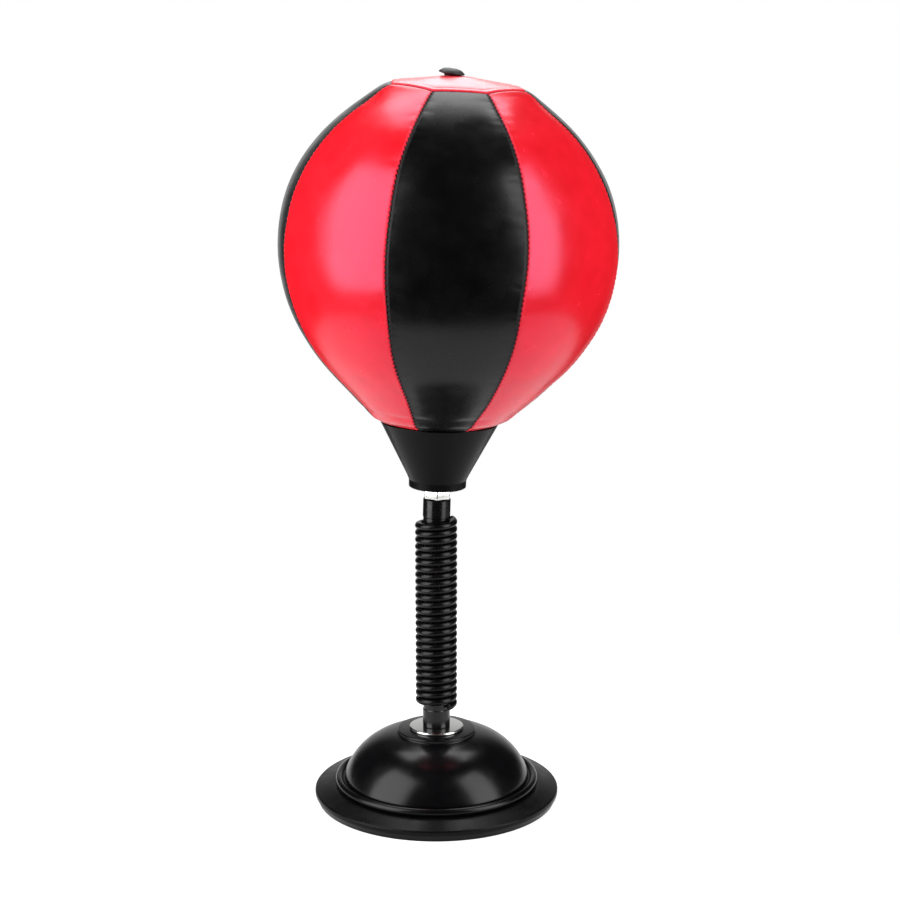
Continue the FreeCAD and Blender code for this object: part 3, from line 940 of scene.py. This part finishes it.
def wrap_leather(piece, places, seam_mm, thickness_mm, closed=False):
    """Moves the grid's points into place, marks their distance from a seam and gives it a wall."""
    piece.data.vertices.foreach_set("co", (places * MM).ravel())
    marks = piece.data.attributes.new("seam_mm", "FLOAT", "POINT")
    marks.data.foreach_set("value", seam_mm)
    piece.data.update()
    if closed:
        tidy_mesh(piece)
    wall = piece.modifiers.new("leather_thickness", "SOLIDIFY")
    wall.thickness = thickness_mm * MM
    wall.offset = -1
    apply_modifiers(piece)
    smooth(piece, 60)
    return lean(piece)


def sewn_panel(name, panel, dice):
    """A flat grid of leather wrapped to one panel of the cover."""
    columns = len(ACROSS)
    bpy.ops.object.select_all(action="DESELECT")
    bpy.ops.mesh.primitive_grid_add(x_subdivisions=columns - 1, y_subdivisions=DOWN, size=1)
    piece = bpy.context.object
    piece.name = name
    flat = np.array([v.co[:] for v in piece.data.vertices])
    u = ACROSS[np.rint((flat[:, 0] + 0.5) * (columns - 1)).astype(int)]
    v = 0.5 - flat[:, 1]
    places, seam_mm = panel_shape(panel, u, v, dice)
    return wrap_leather(piece, places, seam_mm, LEATHER)


dice = np.random.default_rng(11)
for panel in range(8):
    colour = "black" if panel % 2 == 0 else "red"
    number = panel // 2 + 1
    gore = sewn_panel(f"sewn_{colour}_{number}", panel, dice)
    dress(gore, FINISH[colour], f"{colour}_pu", "head", f"{colour}_panel_{number}")
print("panels sewn: 8, each", len(gore.data.polygons), "faces")


# %% [markdown]
# ### The bladder
# A dipped rubber bag fills the cover. It is turned from the skin's own profile, set far enough
# inwards to stay clear of the panels where they lie flattest, and moved off its axis with them.

# %% Bladder inside the cover
def bladder_bag(clear_mm, wall_mm):
    """A closed-walled bag that follows the cover inside, open only round the valve's stem."""
    r, z, nr, nz = profile(np.linspace(7, SKIN_S - 5, 48))
    outside = list(zip(r - nr * clear_mm, z - nz * clear_mm))
    inside = list(zip(r - nr * (clear_mm + wall_mm), z - nz * (clear_mm + wall_mm)))
    floor = outside[-1][1]
    outline = outside + [(0.0, floor), (0.0, floor + wall_mm)] + inside[::-1]
    piece = turned("inflated_bladder", outline, 72)
    places = np.array([v.co[:] for v in piece.data.vertices]) / MM
    piece.data.vertices.foreach_set("co", (pattern_drift(places) * MM).ravel())
    piece.data.update()
    return lean(piece)


bladder = bladder_bag(clear_mm=3.6, wall_mm=1.0)
dress(bladder, FINISH["bladder"], "bladder_rubber", "head", "bladder")
print("bladder", len(bladder.data.polygons), "faces")


# %% [markdown]
# ### The top patch
# An eight-sided patch covers the upper ends of the panels. Its edge is turned under and stitched,
# so it stands up in a soft rolled lip. It starts as a flat grid too, which is rolled into a ring
# with one side drawn together at the crown and the other on the eight straight edges.

# %% Shape of the patch
AROUND, IN_OUT = 176, 44
PATCH_LAP, PATCH_LIFT, PATCH_LEATHER = 0.9, 0.2, 1.0
ROLL, HEM, HEM_STITCH = 0.7, 0.12, 0.15
CROWN_DIP, FACET_DIP = 0.5, 1.0


def patch_shape(turn, out):
    """Places of the patch's points: a turn round it, and a fraction from the crown to its edge."""
    panel = np.minimum((turn * 8).astype(int), 7)
    across = turn * 8 - panel
    edge_s = np.array([patch_edge_s(p, a) for p, a in zip(panel, across)])
    s = out * (edge_s + PATCH_LAP)
    from_edge = (1 - out) * (edge_s + PATCH_LAP)
    height = swell(panel, across, s) + PATCH_LIFT
    height += HEM * hump(from_edge, 1.2, 0.8)
    height -= ROLL * hump(from_edge, 0, 0.5)
    height -= HEM_STITCH * hump(from_edge, 3.4, 0.7)
    height += 0.05 * np.cos(2 * math.pi * turn * 80) * hump(from_edge, 2.4, 1.2)
    height -= CROWN_DIP * hump(s, 0, 6.5) + FACET_DIP * hump(s, 17, 9)
    place = skin(panel, across, s, height)
    return pattern_drift(place), from_edge


across_flats = 2 * PATCH_R * math.cos(math.radians(WIDTHS[0]) / 2)
print("patch", round(across_flats, 1), "mm across its flats")


# %% Patch with its rolled edge
def top_patch():
    """The flat grid rolled into a ring and drawn together at the crown."""
    bpy.ops.object.select_all(action="DESELECT")
    bpy.ops.mesh.primitive_grid_add(x_subdivisions=AROUND, y_subdivisions=IN_OUT, size=1)
    piece = bpy.context.object
    piece.name = "sewn_top_patch"
    flat = np.array([v.co[:] for v in piece.data.vertices])
    turn, out = flat[:, 0] + 0.5, 0.5 - flat[:, 1]
    places, seam_mm = patch_shape(turn % 1.0, out)
    return wrap_leather(piece, places, seam_mm, PATCH_LEATHER, closed=True)


patch = dress(top_patch(), FINISH["red"], "red_pu", "head", "top_patch")
print("patch", len(patch.data.polygons), "faces")


# %% [markdown]
# ### Stitches and the valve
# The thread shows only as a row of dark beads in each groove. One bead is a small six-sided ball
# drawn out across the seam, copied along every seam and joined into one piece per seam.
# The valve is a rubber mushroom: a domed cap with a dimple for the needle, on a stem that goes down
# through the patch.

# %% A row of beads
BEAD_LENGTH, BEAD_THICK, BEAD_DEPTH = 1.5, 0.55, 0.26


def bead_row(name, places, directions, length_mm, thick_mm):
    """One piece with a bead of thread at every place, drawn out along its direction."""
    bpy.ops.object.select_all(action="DESELECT")
    beads = []
    for place, direction in zip(places, directions):
        bpy.ops.mesh.primitive_uv_sphere_add(segments=6, ring_count=4, radius=1)
        bead = bpy.context.object
        turn = Vector(direction).to_track_quat("Z", "Y").to_matrix().to_4x4()
        size = Matrix.Diagonal((thick_mm / 2 * MM, thick_mm / 2 * MM, length_mm / 2 * MM, 1))
        bead.data.transform(Matrix.Translation(Vector(place) * MM) @ turn @ size)
        beads.append(bead)
    for bead in beads:
        bead.select_set(True)
    bpy.context.view_layer.objects.active = beads[0]
    bpy.ops.object.join()
    piece = bpy.context.object
    piece.name = name
    smooth(piece, 80)
    return lean(piece)


print("bead", BEAD_LENGTH, "by", BEAD_THICK, "mm")


# %% Stitches
def seam_stitches(seam):
    """Middle and direction of every bead along a seam."""
    s = np.arange(PATCH_R + 3.6, SKIN_S - 4, STITCH)
    swing = seam_shift(seam, s) / WIDTHS[seam]
    depth = swell(seam, np.zeros_like(s), s) - BEAD_DEPTH
    middle = pattern_drift(skin(seam, swing, s, depth))
    beside = pattern_drift(skin(seam, swing + 0.01, s + 0.35, depth))
    return middle, beside - middle


for seam in range(8):
    places, directions = seam_stitches(seam)
    row = bead_row(f"seam_thread_{seam + 1}", places, directions, BEAD_LENGTH, BEAD_THICK)
    dress(row, FINISH["thread"], f"{'black' if seam % 2 == 0 else 'red'}_pu", "head")
print("stitches", 8 * len(places))


# %% Valve cap
VALVE_TILT, VALVE_ROOT = 7, 347


def valve_cap():
    """Mushroom cap and stem turned about the post's axis, then leaned and set down to the right."""
    outline = (
        [(0.0, 354.0), (0.8, 354.15), (1.3, 354.7)]
        + arc((1.3, 354.7), (2.0, 355.0), (3.0, 354.85), 5)
        + arc((3.0, 354.85), (4.9, 354.1), (6.0, 353.1), 6)
        + arc((6.0, 353.1), (6.05, 352.8), (5.8, 352.6), 4)
        + [(3.6, 352.1), (3.2, 351.6), (3.2, 335), (1.2, 334.2), (0.0, 334.2)]
    )
    piece = turned("valve_cap", outline, 64)
    tilt = Matrix.Rotation(math.radians(VALVE_TILT), 4, Vector((0, 1, 0)))
    root = Vector((0, 0, VALVE_ROOT * MM))
    piece.data.transform(Matrix.Translation(root) @ tilt @ Matrix.Translation(-root))
    return lean(piece)


valve = dress(valve_cap(), FINISH["valve"], "valve_rubber", "head", "valve_button")
print("valve", len(valve.data.polygons), "faces")
